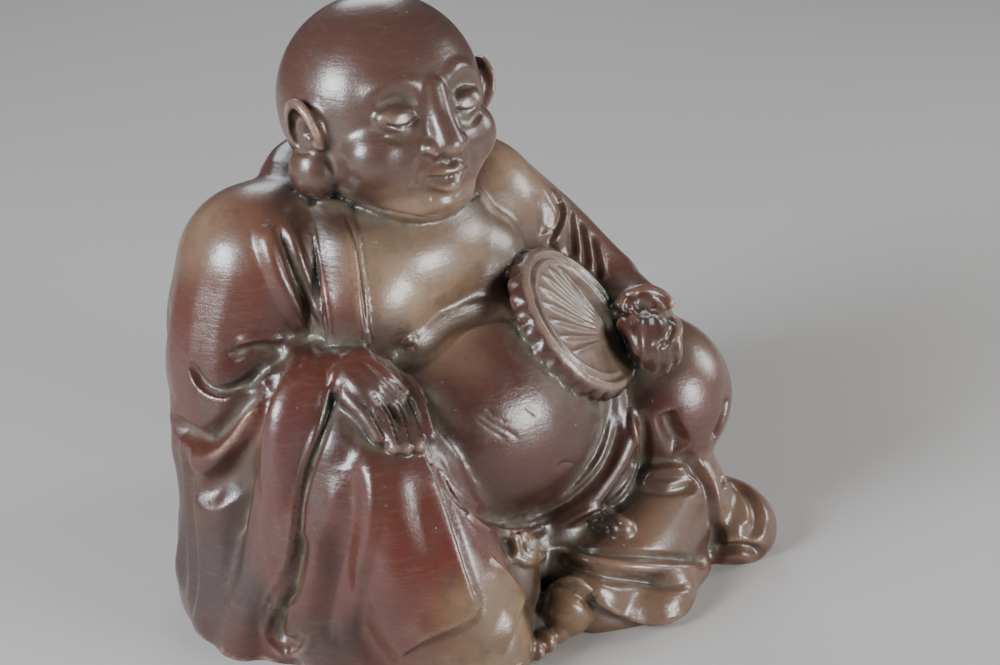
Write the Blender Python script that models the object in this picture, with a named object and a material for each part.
# Seated hotei figure: one solid piece of clay with its fan, sack and robe.
# Metres, +Z up, the figure faces -Y, and the middle of its footprint is the origin.

import math

import bmesh
import bpy
import numpy as np
from mathutils import Euler, Matrix, Vector
from mathutils.bvhtree import BVHTree

# Driving dimensions.
FIGURE_HEIGHT = 0.240
FAN_DIAMETER = 0.068
FAN_THICKNESS = 0.009
FAN_FLUTES = 26
HEAD_WIDTH = 0.081
SACK_DIAMETER = 0.070
BELLY_WIDTH = 0.126
SKIN_TRIANGLES = 8900
FOLD_STRENGTH = "normal"

# One unit is a 240th of the height. Free forms are placed in units.
UNIT = FIGURE_HEIGHT / 240
FOLD_STRENGTHS = {"soft": 0.7, "normal": 1.0, "deep": 1.2}

# The view in which the folds are laid out: a picture of 1000 x 665 points.
VIEW_AZIMUTH = -42
VIEW_ELEVATION = 26
VIEW_DISTANCE = 800
VIEW_REACH = 1917
VIEW_MIDDLE = (500, 332.5)
VIEW_TARGET = (42.2, -23, 94.5)

HEAD_PLACE = (3.5, 1, 199)
HEAD_TURN = (-6, 0, -5)
FAN_PLACE = (48, -60, 110)
FAN_FACING = (0.381, -0.642, 0.661)
FAN_HANDLE_WAY = (37, -18, -13)


def scaled(values):
    return Vector(values) * UNIT


def clear_scene():
    for item in list(bpy.data.objects):
        bpy.data.objects.remove(item)


def select_only(items):
    bpy.ops.object.select_all(action="DESELECT")
    for item in items:
        item.select_set(True)
    bpy.context.view_layer.objects.active = items[0]


def ball(place, radii):
    bpy.ops.mesh.primitive_uv_sphere_add(segments=28, ring_count=18, radius=1, location=scaled(place))
    item = bpy.context.object
    item.scale = scaled(radii)
    return [item]


def roll(points, radii):
    curve = bpy.data.curves.new("roll", "CURVE")
    curve.dimensions = "3D"
    curve.bevel_depth = UNIT
    curve.bevel_resolution = 5
    curve.resolution_u = 8
    curve.use_fill_caps = True
    line = curve.splines.new("BEZIER")
    line.bezier_points.add(len(points) - 1)
    for knot, point, radius in zip(line.bezier_points, points, radii):
        knot.co = scaled(point)
        knot.radius = radius
        knot.handle_left_type = "AUTO"
        knot.handle_right_type = "AUTO"
    item = bpy.data.objects.new("roll", curve)
    bpy.context.scene.collection.objects.link(item)
    select_only([item])
    bpy.ops.object.convert(target="MESH")
    tube = bpy.context.object
    first = ball(points[0], (radii[0],) * 3)
    last = ball(points[-1], (radii[-1],) * 3)
    return [tube] + first + last


def fuse(pieces, grain, softening, name):
    select_only(pieces)
    bpy.ops.object.join()
    item = bpy.context.object
    item.name = name
    bpy.ops.object.transform_apply(location=True, rotation=True, scale=True)
    skin = item.modifiers.new("skin", "REMESH")
    skin.mode = "VOXEL"
    skin.voxel_size = grain * UNIT
    bpy.ops.object.modifier_apply(modifier="skin")
    soften(item, softening)
    return item


def soften(item, times):
    if times:
        select_only([item])
        smooth = item.modifiers.new("smooth", "SMOOTH")
        smooth.factor = 0.5
        smooth.iterations = times
        bpy.ops.object.modifier_apply(modifier="smooth")


# Views and the paths drawn in them.

def slanted_view():
    azimuth = math.radians(VIEW_AZIMUTH)
    elevation = math.radians(VIEW_ELEVATION)
    back = Vector((
        math.sin(azimuth) * math.cos(elevation),
        -math.cos(azimuth) * math.cos(elevation),
        math.sin(elevation),
    ))
    right = Vector((math.cos(azimuth), math.sin(azimuth), 0))
    up = back.cross(right)
    eye = scaled(VIEW_TARGET) + back * VIEW_DISTANCE * UNIT

    def ray(across, down):
        way = right * (across - VIEW_MIDDLE[0]) + up * (VIEW_MIDDLE[1] - down) - back * VIEW_REACH
        return eye, way.normalized()

    return {"ray": ray, "back": back, "step": 3.0}


def straight_view(azimuth_degrees, frame=Matrix.Identity(4)):
    azimuth = math.radians(azimuth_degrees)
    turned = frame.to_3x3()
    back = turned @ Vector((math.sin(azimuth), -math.cos(azimuth), 0))
    right = turned @ Vector((math.cos(azimuth), math.sin(azimuth), 0))
    up = turned @ Vector((0, 0, 1))
    middle = frame.translation

    def ray(across, height):
        start = middle + right * across * UNIT + up * height * UNIT + back * 400 * UNIT
        return start, -back

    return {"ray": ray, "back": back, "step": 1.2}


def smooth_path(points, step):
    spots = [np.array(point, float) for point in points]
    if len(spots) == 2:
        spots.insert(1, (spots[0] + spots[1]) / 2)
    spots = [2 * spots[0] - spots[1]] + spots + [2 * spots[-1] - spots[-2]]
    path = []
    for a, b, c, d in zip(spots, spots[1:], spots[2:], spots[3:]):
        count = max(2, int(np.linalg.norm(c - b) / step))
        for share in np.arange(count) / count:
            path.append(0.5 * (
                2 * b + (c - a) * share
                + (2 * a - 5 * b + 4 * c - d) * share ** 2
                + (3 * b - a - 3 * c + d) * share ** 3
            ))
    path.append(spots[-2])
    return path


def surface_of(item):
    mesh = item.data
    return BVHTree.FromPolygons(
        [vertex.co.copy() for vertex in mesh.vertices],
        [face.vertices[:] for face in mesh.polygons],
    )


def cast_path(surface, view, points):
    runs = []
    run = []
    last = None
    for spot in smooth_path(points, view["step"]):
        start, way = view["ray"](*spot)
        hit, facing, face, distance = surface.ray_cast(start, way)
        if hit is None or (last is not None and (hit - last).length > 7 * UNIT):
            runs.append(run)
            run = []
        if hit is not None:
            run.append((hit, facing))
        last = hit
    runs.append(run)
    return [run for run in runs if len(run) > 2]


def lay(surface, view, points, radii, lift):
    spots = []
    for point in points:
        start, way = view["ray"](*point[:2])
        hit, facing, face, distance = surface.ray_cast(start, way)
        spots.append([start, way, distance, point[2] if len(point) > 2 else lift])
    last = [spot[2] for spot in spots if spot[2] is not None][0]
    places = []
    for start, way, distance, height in spots:
        last = last if distance is None else distance
        places.append((start + way * (last - height * UNIT)) / UNIT)
    return roll(places, radii)


def sheet(stations, thick):
    # A flat band of cloth. Each station holds its middle and its edge.
    path = np.array(smooth_path(stations, 6))
    middles = path[:, :3]
    sides = path[:, 3:6] - middles
    rises = np.cross(sides, np.gradient(middles, axis=0))
    rises *= thick / np.linalg.norm(rises, axis=1)[:, None]
    mesh = bmesh.new()
    rings = []
    for middle, side, rise in zip(middles, sides, rises):
        ring = []
        for number in range(16):
            angle = number * math.tau / 16
            ring.append(mesh.verts.new(scaled(middle + side * math.cos(angle) + rise * math.sin(angle))))
        rings.append(ring)
    for ring, other in zip(rings, rings[1:]):
        for number in range(16):
            after = (number + 1) % 16
            mesh.faces.new((ring[number], ring[after], other[after], other[number]))
    mesh.faces.new(rings[0][::-1])
    mesh.faces.new(rings[-1])
    shape = bpy.data.meshes.new("sheet")
    mesh.to_mesh(shape)
    mesh.free()
    item = bpy.data.objects.new("sheet", shape)
    bpy.context.scene.collection.objects.link(item)
    return [item]


def strip(surface, view, points, width, thick, lift):
    # A sheet laid on the surface along a drawn path.
    hits = []
    for spot in smooth_path(points, 8):
        hit, facing, face, distance = surface.ray_cast(*view["ray"](*spot))
        if hit is not None:
            hits.append(list(hit / UNIT + facing * lift) + list(facing))
    hits = np.array(hits)
    for turn in range(5):
        hits[1:-1] = (hits[:-2] + 2 * hits[1:-1] + hits[2:]) / 4
    sides = np.cross(np.gradient(hits[:, :3], axis=0), hits[:, 3:])
    sides *= width / np.linalg.norm(sides, axis=1)[:, None]
    return sheet(np.hstack([hits[:, :3], hits[:, :3] + sides]), thick)


def hump(values):
    return np.clip(1 - values * values, 0, None) ** 2


def groove(distance, side):
    return -hump(distance)


def ridge(distance, side):
    return hump(distance)


def lap(distance, side):
    raised = hump(np.clip(side / 2.2, 0, 1)) * np.clip(0.35 + 3.6 * side, 0, 1)
    sunk = -0.35 * hump(np.clip(-side, 0, 1))
    return np.where(side > 0, raised, sunk) * (distance < 2.2)


def carve(item, folds):
    surface = surface_of(item)
    mesh = item.data
    count = len(mesh.vertices)
    places = np.empty(count * 3)
    mesh.vertices.foreach_get("co", places)
    places = places.reshape(-1, 3)
    facings = np.empty(count * 3)
    mesh.vertices.foreach_get("normal", facings)
    facings = facings.reshape(-1, 3)
    shifts = np.zeros(count)
    strength = FOLD_STRENGTHS[FOLD_STRENGTH]
    for view, shape, width, depth, points in folds:
        reach = width * UNIT * (2.2 if shape is lap else 1)
        for run in cast_path(surface, view, points):
            path = np.array([hit[:] for hit, facing in run])
            rise = np.array([facing[:] for hit, facing in run])
            for turn in range(3):
                path[1:-1] = (path[:-2] + 2 * path[1:-1] + path[2:]) / 4
                rise[1:-1] = (rise[:-2] + 2 * rise[1:-1] + rise[2:]) / 4
            way = np.gradient(path, axis=0)
            way /= np.linalg.norm(way, axis=1)[:, None] + 1e-12
            close = (places > path.min(0) - reach) & (places < path.max(0) + reach)
            near = np.where(close.all(axis=1))[0]
            if not len(near):
                continue
            gaps = ((places[near][:, None, :] - path[None]) ** 2).sum(2)
            index = gaps.argmin(1)
            offset = places[near] - path[index]
            inner = (index > 0) & (index < len(path) - 1)
            along = np.where(inner, (offset * way[index]).sum(1), 0)
            distance = np.sqrt(np.maximum(gaps.min(1) - along ** 2, 0)) / (width * UNIT)
            side = (offset * np.cross(way[index], rise[index])).sum(1) / (width * UNIT)
            share = index / (len(path) - 1)
            ends = np.sin(np.clip(np.minimum(share, 1 - share) * 5, 0, 1) * math.pi / 2)
            facing_same = np.clip(((facings[near] * rise[index]).sum(1) + 0.1) * 2, 0, 1)
            shape_height = np.where(inner | (distance < 1), shape(distance, side), 0)
            shifts[near] += strength * depth * UNIT * shape_height * ends * facing_same
    mesh.vertices.foreach_set("co", (places + facings * shifts[:, None]).ravel())
    mesh.update()


# Masses of the body.

def robe():
    # Rings from the ground to the neck, as the cloth hangs down the back.
    levels = (
        (-12, 0, -6, 96, 74),
        (2, 0, -5, 101, 77),
        (22, 0, -2, 98, 76),
        (50, 0, 4, 90, 70),
        (80, 0, 10, 83, 63),
        (108, 0, 16, 78, 56),
        (134, 1, 19, 70, 48),
        (152, 2, 18, 58, 40),
        (168, 3, 12, 38, 30),
        (178, 3, 8, 20, 20),
    )
    mesh = bmesh.new()
    last = None
    for height, across, along, wide, deep in smooth_path(levels, 4):
        ring = []
        for number in range(72):
            angle = number * math.tau / 72
            place = (across + wide * math.cos(angle), along + deep * math.sin(angle), height)
            ring.append(mesh.verts.new(scaled(place)))
        if last is None:
            mesh.faces.new(ring[::-1])
        else:
            for number in range(72):
                other = (number + 1) % 72
                mesh.faces.new((last[number], last[other], ring[other], ring[number]))
        last = ring
    mesh.faces.new(last)
    shape = bpy.data.meshes.new("robe")
    mesh.to_mesh(shape)
    mesh.free()
    item = bpy.data.objects.new("robe", shape)
    bpy.context.scene.collection.objects.link(item)
    nape = roll([(-40, 0, 160), (-30, 28, 166), (2, 44, 168), (34, 30, 166), (46, 0, 160)], [6, 8, 8, 8, 6])
    return [item] + nape


def torso():
    belly = BELLY_WIDTH / 2 / UNIT
    return (
        ball((-22, -20, 127), (30, 23, 27))
        + ball((24, -20, 127), (30, 23, 27))
        + ball((0, -14, 138), (46, 29, 28))
        + ball((0, -10, 150), (42, 26, 20))
        + ball((11, -37.5, 74.5), (belly, 0.83 * belly, 0.79 * belly))
    )


def right_arm():
    # The sleeve's hanging front: middle and hem.
    fall = (
        (-55, -30, 122, -50, -41, 125), (-62, -34, 120, -61, -46, 120), (-69, -38, 113, -66, -48, 113),
        (-75, -39, 103, -71, -49, 103), (-79, -38, 91, -76, -48, 91), (-82, -36, 78, -79, -46, 79),
        (-84, -34, 64, -81, -44.5, 66), (-86, -32, 50, -83.5, -43, 53), (-88, -30, 37, -86.5, -41, 40),
        (-92, -27, 24, -91, -37, 27), (-96, -24, 10, -94, -34, 14), (-97, -22, -4, -95, -32, -4),
    )
    return (
        ball((-44, 16, 138), (36, 34, 34))
        + roll([(-48, 16, 138), (-60, 14, 108), (-66, 2, 78)], [34, 32, 29])
        + roll([(-66, -2, 78), (-63, -28, 96), (-50, -44, 108)], [27, 20, 13])
        + roll([(-70, 4, 72), (-76, 0, 40), (-82, -6, 6)], [26, 22, 22])
        + roll([(-64, -26, 92), (-74, -32, 45), (-80, -34, 4)], [14, 12, 13])
        + sheet(fall, 6.5)
    )


def left_arm():
    return (
        ball((50, 8, 138), (34, 33, 32))
        + roll([(52, 6, 138), (78, -4, 116), (92, -28, 98)], [31, 27, 22])
        + roll([(92, -28, 98), (90, -56, 98)], [21, 15])
        + roll([(80, 0, 108), (88, -8, 50), (90, -20, 8)], [26, 26, 28])
    )


def legs():
    return (
        roll([(-44, -10, 45), (-50, -56, 70)], [34, 30])
        + roll([(-49, -59, 70), (-44, -78, 38), (-37, -86, 8)], [31, 31, 30])
        + roll([(-55, -46, 86), (-60, -47, 66), (-65, -49, 46), (-68, -50, 24), (-61, -60, 4)], [24, 25.5, 26, 24, 24])
        + roll([(-8, -66, 46), (-10, -82, 22), (-15, -84, 4)], [16, 16, 13])
        + roll([(40, -10, 30), (84, -74, 30)], [34, 28])
        + roll([(84, -82, 24), (50, -96, 18), (24, -98, 14)], [27, 20, 16])
        + ball((-16, -74, 10), (26, 24, 26))
        + ball((16, -66, 20), (26, 22, 22))
        + ball((28, -74, 26), (20, 16, 16))
        + ball((57, -62, 64), (17, 17, 26))
        + ball((52, -74, 42), (15, 13, 18))
        + roll([(20, -104, 4), (36, -110, 5), (50, -115, 6), (60, -108, 8)], [8, 10, 12, 12])
    )


def sack():
    radius = SACK_DIAMETER / 2 / UNIT
    return (
        ball((91, -64, 64), (radius,) * 3)
        + ball((98, -40, 40), (28, 40, 40))
        + ball((107, -94, 8), (22, 26, 19))
        + ball((96, -70, 6), (30, 40, 26))
        + ball((50, -98, 4), (42, 22, 10))
        + ball((52, -44, 102), (22, 15, 22))
    )


def head():
    wide = HEAD_WIDTH / 2 / UNIT
    pieces = (
        ball((0, 4, 1), (wide, wide, wide * 0.98))
        + ball((0, -8, -17), (35, 33, 27))
        + ball((0, -30, -32), (12, 10, 9))
        + ball((0, -18, -34), (24, 20, 11))
        + roll([(0, -35, 10), (0, -39.5, 0), (0, -43.5, -9)], [3.2, 3.8, 4.6])
        + ball((0, -44, -11), (5, 4.6, 4.2))
        + roll([(-8.5, -37, -22), (0, -40.5, -20.8), (8.5, -37, -22)], [1.6, 2.4, 1.6])
        + roll([(-7.5, -37, -25), (0, -40, -26), (7.5, -37, -25)], [1.6, 3, 1.6])
    )
    for side in (-1, 1):
        pieces += ball((19 * side, -22, -14), (15, 14, 14))
        pieces += ball((15 * side, -30.4, 1), (8.6, 6, 5.6))
        pieces += ball((5 * side, -41, -12), (3.5, 4, 3.1))
        ear = [(38, -13, -9), (41, -14.5, -2), (42.5, -11, 5), (43, -4, 7.5), (42.5, 1, 3), (41.5, 1.5, -6), (40, -2, -12)]
        pieces += roll([(x * side, y, z) for x, y, z in ear], [1.6, 2, 2.4, 2.6, 2.6, 2.5, 2.5])
        pieces += ball((39 * side, -6, -3), (3.5, 10, 11))
        pieces += ball((36.5 * side, -3, -20), (9.5, 11, 11.5))
    item = fuse(pieces, 1.5, 1, "head")
    item.matrix_world = head_frame()
    return [item]


def head_frame():
    turn = Euler([math.radians(angle) for angle in HEAD_TURN])
    return Matrix.Translation(scaled(HEAD_PLACE)) @ turn.to_matrix().to_4x4()


def fan():
    # Rings of the disc, as radius, level and depth of the flutes, all as shares of the fan's own sizes.
    profile = ((0.953, -0.5, 0.4), (1, -0.29, 1.3), (1.006, -0.02, 1.3), (0.994, 0.2, 0.8), (0.982, 0.36, 0), (0.953, 0.49, 0))
    facing = Vector(FAN_FACING).normalized()
    handle = Vector(FAN_HANDLE_WAY)
    handle = (handle - facing * handle.dot(facing)).normalized()
    turn = Matrix((handle, facing.cross(handle), facing)).transposed()
    mesh = bmesh.new()
    count = FAN_FLUTES * 8
    rings = []
    for share, level, flute in profile:
        ring = []
        for number in range(count):
            angle = number * math.tau / count
            wave = flute * FAN_DIAMETER / 68 * (abs(math.sin(angle * FAN_FLUTES / 2)) - 0.5)
            out = share * FAN_DIAMETER / 2 + wave
            ring.append(mesh.verts.new((out * math.cos(angle), out * math.sin(angle), level * FAN_THICKNESS)))
        rings.append(ring)
    for ring, other in zip(rings, rings[1:]):
        for number in range(count):
            after = (number + 1) % count
            mesh.faces.new((ring[number], ring[after], other[after], other[number]))
    mesh.faces.new(rings[0][::-1])
    mesh.faces.new(rings[-1])
    shape = bpy.data.meshes.new("fan")
    mesh.to_mesh(shape)
    mesh.free()
    item = bpy.data.objects.new("fan", shape)
    bpy.context.scene.collection.objects.link(item)
    item.matrix_world = Matrix.Translation(scaled(FAN_PLACE)) @ turn.to_4x4()
    return [item]


def hands_and_feet(surface, view):
    digits = (
        [(338, 378, -3), (350, 399, 0.5), (364, 415, 2.5), (379, 438, 2.5)],
        [(343, 373, -3), (361, 393, 1), (380, 413, 3), (395, 447, 2.5)],
        [(349, 368, -3), (374, 387, 1), (394, 409, 3), (406, 448, 2.5)],
        [(355, 364, -3), (386, 382, 1), (406, 406, 3), (418, 447, 2.5)],
        [(362, 362, -3), (394, 378, 0.5), (414, 398, 2.5), (429, 437, 2.5)],
    )
    pieces = []
    for points in digits:
        pieces += lay(surface, view, points, [5.5, 4.4, 3.3, 2.9], 0)
    pieces += lay(surface, view, [(648, 322), (660, 338), (668, 362)], [7, 8.5, 9], 3)
    for number, across in enumerate((656, 666, 676, 685)):
        path = [(across - 3, 332 + 2 * number, 10), (across + 1, 346 + number, 14), (across + 3, 362, 11)]
        pieces += lay(surface, view, path, [2.8, 3, 2.7], 0)
    pieces += ball((7.5, -101, 12), (11.5, 11, 12))
    pieces += ball((-4, -94, 6), (17, 9, 8))
    for number, place in enumerate([(-0.5, -103, 6), (-8, -104.5, 5.5), (-14.5, -105, 5), (-20, -104, 4.5)]):
        pieces += ball(place, (4.8 - 0.4 * number, 6, 5.4 - 0.4 * number))
    pieces += ball((-47, -90, 7), (22, 20, 11))
    for number in range(5):
        place = (-33 - 6.5 * number, -110 + 3 * number, 5)
        pieces += ball(place, (4.2, 7, 5))
    return pieces


def trimmings(surface, view):
    band = [
        (-38, -69, 94), (-38, -74, 85), (-35, -78, 73), (-27, -80.5, 60), (-10, -81, 46), (15, -77, 35),
        (30, -83, 40), (44, -84, 49), (56, -82.5, 60), (63, -79, 70), (63.5, -73.5, 77),
    ]
    inner_band = [
        (-9, -79, 48), (15, -74, 38), (28, -78, 44), (40.5, -79, 52), (51, -77, 62), (57, -74, 71), (60, -70, 78),
    ]
    cuff = [(617, 318), (624, 301), (643, 291), (664, 297), (677, 308)]
    cord_end = [(590, 516), (606, 523), (621, 530)]
    curl = [(263, 618), (267, 638), (282, 651), (295, 641), (294, 622), (302, 596)]
    return (
        roll(band, [4.5, 5, 5.5, 5.5, 5.5, 5.5, 5.5, 5.5, 5.5, 5.5, 5])
        + roll(inner_band, [5, 6, 6.5, 6.5, 6.5, 6.5, 7])
        + lay(surface, view, cuff, [2.8, 3.2, 3.2, 3.2, 2.8], 2)
        + lay(surface, view, cord_end, [4.5, 6, 5], 2)
        + lay(surface, view, curl, [3, 3, 3, 3, 3, 2.5], 0)
        + strip(surface, view, [(330, 208), (341, 240), (347, 285), (352, 345)], 8, 3, 0.5)
        + strip(surface, view, [(291, 212), (300, 245), (313, 285), (330, 335)], 7, 3, 0.5)
        + lay(surface, view, [(352, 343), (376, 343)], [5, 6], -3)
        + lay(surface, view, [(527, 545), (527, 556)], [6, 6], 1)
        + lay(surface, view, [(513, 558), (527, 562), (541, 556)], [2.8, 3.2, 2.8], 2.5)
    )


def folds(view):
    slanted = (
        (groove, 4.5, 3.6, [(339, 376), (331, 408), (319, 443), (301, 505), (298, 540), (284, 605), (281, 628), (289, 643)]),
        (groove, 6, 5.5, [(302, 535), (295, 580), (285, 614), (284, 632)]),
        (groove, 5, 4.5, [(192, 366), (200, 383), (212, 391), (226, 393), (245, 385), (262, 372)]),
        (groove, 6, 5.0, [(168, 395), (180, 425), (195, 438), (210, 440), (228, 425), (245, 402), (262, 384)]),
        (ridge, 6, 2.5, [(174, 425), (182, 450), (200, 462), (222, 450), (240, 425), (255, 400)]),
        (groove, 10, 7.0, [(180, 478), (205, 492), (230, 480), (245, 455), (257, 425), (270, 393), (290, 365)]),
        (ridge, 5, 2.0, [(185, 505), (205, 521), (228, 522), (250, 500), (262, 460)]),
        (ridge, 12, 4.0, [(300, 362), (280, 400), (275, 450), (282, 500), (277, 550), (258, 605)]),
        (groove, 6, 5.0, [(238, 350), (262, 345), (298, 355)]),
        (ridge, 5, 2.5, [(226, 358), (260, 364), (300, 360)]),
        (ridge, 6, 3.5, [(264, 225), (268, 245), (280, 280), (300, 315), (320, 345)]),
        (groove, 5, 4.5, [(274, 228), (287, 262), (303, 300), (322, 342)]),
        (ridge, 5, 2.5, [(286, 230), (296, 262), (306, 295)]),
        (groove, 3.5, 2.2, [(344, 212), (357, 252), (364, 300), (371, 344)]),
        (lap, 4, 2.0, [(548, 246), (559, 227), (562, 210), (552, 194)]),
        (groove, 7, 2.5, [(538, 192), (545, 212), (547, 236)]),
        (ridge, 3, 2.4, [(572, 209), (577, 234), (580, 262)]),
        (groove, 3, 2.2, [(578, 220), (584, 244), (587, 268)]),
        (ridge, 3, 2.2, [(584, 225), (589, 247), (593, 272)]),
        (groove, 8, 5.0, [(366, 345), (385, 359), (410, 361), (435, 345), (455, 326), (480, 315), (508, 312)]),
        (groove, 5, 5.0, [(437, 455), (450, 488), (470, 508), (500, 520), (530, 518), (570, 500), (600, 470), (613, 440), (614, 405)]),
        (groove, 4, 3.0, [(640, 410), (645, 445), (640, 478), (625, 503), (600, 518)]),
        (lap, 5, 2.6, [(424, 452), (440, 496), (456, 545), (470, 588), (476, 606), (468, 620), (430, 638), (398, 660)]),
        (ridge, 5, 3.0, [(355, 475), (363, 500), (362, 530), (355, 570), (347, 600)]),
        (groove, 7, 4.0, [(347, 480), (344, 520), (337, 560), (332, 600)]),
        (lap, 5, 2.5, [(492, 556), (510, 580), (521, 596), (514, 622), (504, 655)]),
        (ridge, 4, 2.5, [(636, 480), (660, 471), (688, 470)]),
        (groove, 4, 2.5, [(640, 487), (668, 491), (696, 486)]),
        (groove, 5, 4.5, [(680, 455), (705, 478), (713, 500), (717, 540), (712, 572)]),
        (groove, 5, 3.0, [(720, 480), (745, 490), (757, 510), (755, 530), (740, 535)]),
        (groove, 4, 4.0, [(718, 552), (745, 548), (772, 558)]),
        (groove, 3, 2.2, [(545, 548), (600, 553), (650, 557), (706, 560)]),
        (ridge, 4, 2.0, [(550, 552), (600, 563), (650, 568), (704, 568)]),
        (groove, 4, 3.0, [(555, 560), (600, 576), (650, 583), (695, 584)]),
        (lap, 6, 4.0, [(692, 610), (660, 621), (630, 619), (600, 605), (570, 588), (548, 584)]),
        (groove, 4.5, 4.0, [(665, 417), (669, 430), (680, 447)]),
        (groove, 3.5, 2.5, [(676, 424), (680, 436), (684, 446)]),
        (groove, 4, 4.0, [(728, 396), (723, 418), (713, 442)]),
        (groove, 5, 4.5, [(628, 322), (633, 309), (645, 303), (657, 307)]),
    )
    left = (
        (groove, 8, 4.0, [(-2, 132), (10, 104), (14, 70), (6, 20)]),
        (ridge, 9, 3.5, [(-10, 118), (-4, 88), (-4, 50), (-12, 14)]),
        (groove, 7, 4.0, [(-34, 92), (-22, 66), (-22, 36), (-28, 12)]),
        (ridge, 9, 3.0, [(24, 128), (30, 92), (30, 54), (24, 14)]),
    )
    right = (
        (groove, 7, 3.0, [(-30, 130), (-34, 92), (-30, 50), (-34, 14)]),
        (ridge, 8, 3.0, [(-18, 96), (-20, 64), (-16, 30), (-20, 8)]),
        (groove, 6, 3.0, [(-6, 84), (-8, 54), (-2, 24), (-4, 6)]),
    )
    behind = (
        (ridge, 9, 4.0, [(-52, 150), (-40, 110), (-22, 62), (-16, 20)]),
        (groove, 7, 4.0, [(-40, 150), (-27, 108), (-8, 62), (-2, 22)]),
        (ridge, 9, 3.5, [(50, 152), (42, 108), (34, 60), (38, 18)]),
        (groove, 7, 4.0, [(58, 140), (56, 100), (52, 60), (60, 20)]),
        (groove, 7, 4.0, [(-64, 132), (-58, 96), (-46, 50), (-50, 14)]),
        (ridge, 6, 3.0, [(-34, 166), (0, 158), (34, 166)]),
        (groove, 5, 3.0, [(-38, 158), (0, 150), (38, 158)]),
    )
    laid = [(view,) + fold for fold in slanted]
    for turn, group in ((90, left), (-90, right), (180, behind)):
        laid += [(straight_view(turn),) + fold for fold in group]
    return laid


def face_folds():
    front = straight_view(0, head_frame())
    laid = []
    for side in (-1, 1):
        laid += [
            (front, groove, 3, 2.2, [(7 * side, 8), (14 * side, 9.5), (23 * side, 6)]),
            (front, groove, 2.5, 1.6, [(7 * side, 1), (14 * side, -1.5), (22 * side, 1.5)]),
            (front, groove, 3.5, 1.6, [(8 * side, -12), (14 * side, -19), (14 * side, -25)]),
        ]
    laid.append((front, groove, 2, 2.0, [(-11, -22), (0, -23.2), (11, -22)]))
    laid.append((front, groove, 4, 1.6, [(-9, -30), (0, -31), (9, -30)]))
    return laid


# Finishing.

def keep_largest_shell(mesh):
    groups = []
    seen = set()
    for start in mesh.verts:
        if start in seen:
            continue
        seen.add(start)
        group = [start]
        for vertex in group:
            for edge in vertex.link_edges:
                other = edge.other_vert(vertex)
                if other not in seen:
                    seen.add(other)
                    group.append(other)
        groups.append(group)
    groups.sort(key=len)
    for group in groups[:-1]:
        bmesh.ops.delete(mesh, geom=group, context="VERTS")


def thin_out(item, triangles):
    mesh = bmesh.new()
    mesh.from_mesh(item.data)
    keep_largest_shell(mesh)
    bmesh.ops.triangulate(mesh, faces=mesh.faces[:])
    mesh.to_mesh(item.data)
    count = len(mesh.faces)
    mesh.free()
    select_only([item])
    fewer = item.modifiers.new("fewer", "DECIMATE")
    fewer.ratio = triangles / count
    bpy.ops.object.modifier_apply(modifier="fewer")


def cut_level(item):
    bpy.ops.mesh.primitive_cube_add(size=1, location=(0, 0, -FIGURE_HEIGHT / 2))
    ground = bpy.context.object
    ground.name = "ground_cutter"
    ground.scale = (2 * FIGURE_HEIGHT, 2 * FIGURE_HEIGHT, FIGURE_HEIGHT)
    select_only([item])
    cut = item.modifiers.new("level", "BOOLEAN")
    cut.operation = "DIFFERENCE"
    cut.solver = "EXACT"
    cut.object = ground
    bpy.ops.object.modifier_apply(modifier="level")
    bpy.data.objects.remove(ground)


def settle(item):
    # The footprint's box is centred on the origin and the height made exact.
    corners = np.array([vertex.co[:] for vertex in item.data.vertices])
    low = corners.min(0)
    high = corners.max(0)
    rise = FIGURE_HEIGHT / (high[2] - low[2])
    middle = (low + high) / 2
    item.data.transform(Matrix.Diagonal((1, 1, rise, 1)) @ Matrix.Translation((-middle[0], -middle[1], -low[2])))
    mesh = bmesh.new()
    mesh.from_mesh(item.data)
    bmesh.ops.triangulate(mesh, faces=mesh.faces[:])
    bmesh.ops.dissolve_degenerate(mesh, dist=0.00005, edges=mesh.edges[:])
    bmesh.ops.triangulate(mesh, faces=mesh.faces[:])
    mesh.to_mesh(item.data)
    mesh.free()


def fired_clay():
    material = bpy.data.materials.new("fired_clay")
    material.use_nodes = True
    shader = material.node_tree.nodes["Principled BSDF"]
    shader.inputs["Base Color"].default_value = (0.16, 0.065, 0.04, 1)
    shader.inputs["Roughness"].default_value = 0.32
    return material


def build():
    clear_scene()
    view = slanted_view()
    masses = robe() + torso() + right_arm() + left_arm() + legs() + sack()
    body = fuse(masses, 2.4, 8, "body")
    surface = surface_of(body)
    details = head() + fan() + hands_and_feet(surface, view) + trimmings(surface, view)
    figure = fuse([body] + details, 1.5, 1, "hotei_figure")
    carve(figure, folds(view) + face_folds())
    soften(figure, 1)
    thin_out(figure, SKIN_TRIANGLES)
    cut_level(figure)
    settle(figure)
    figure.data.name = "hotei_figure"
    figure.data.materials.clear()
    figure.data.materials.append(fired_clay())


build()
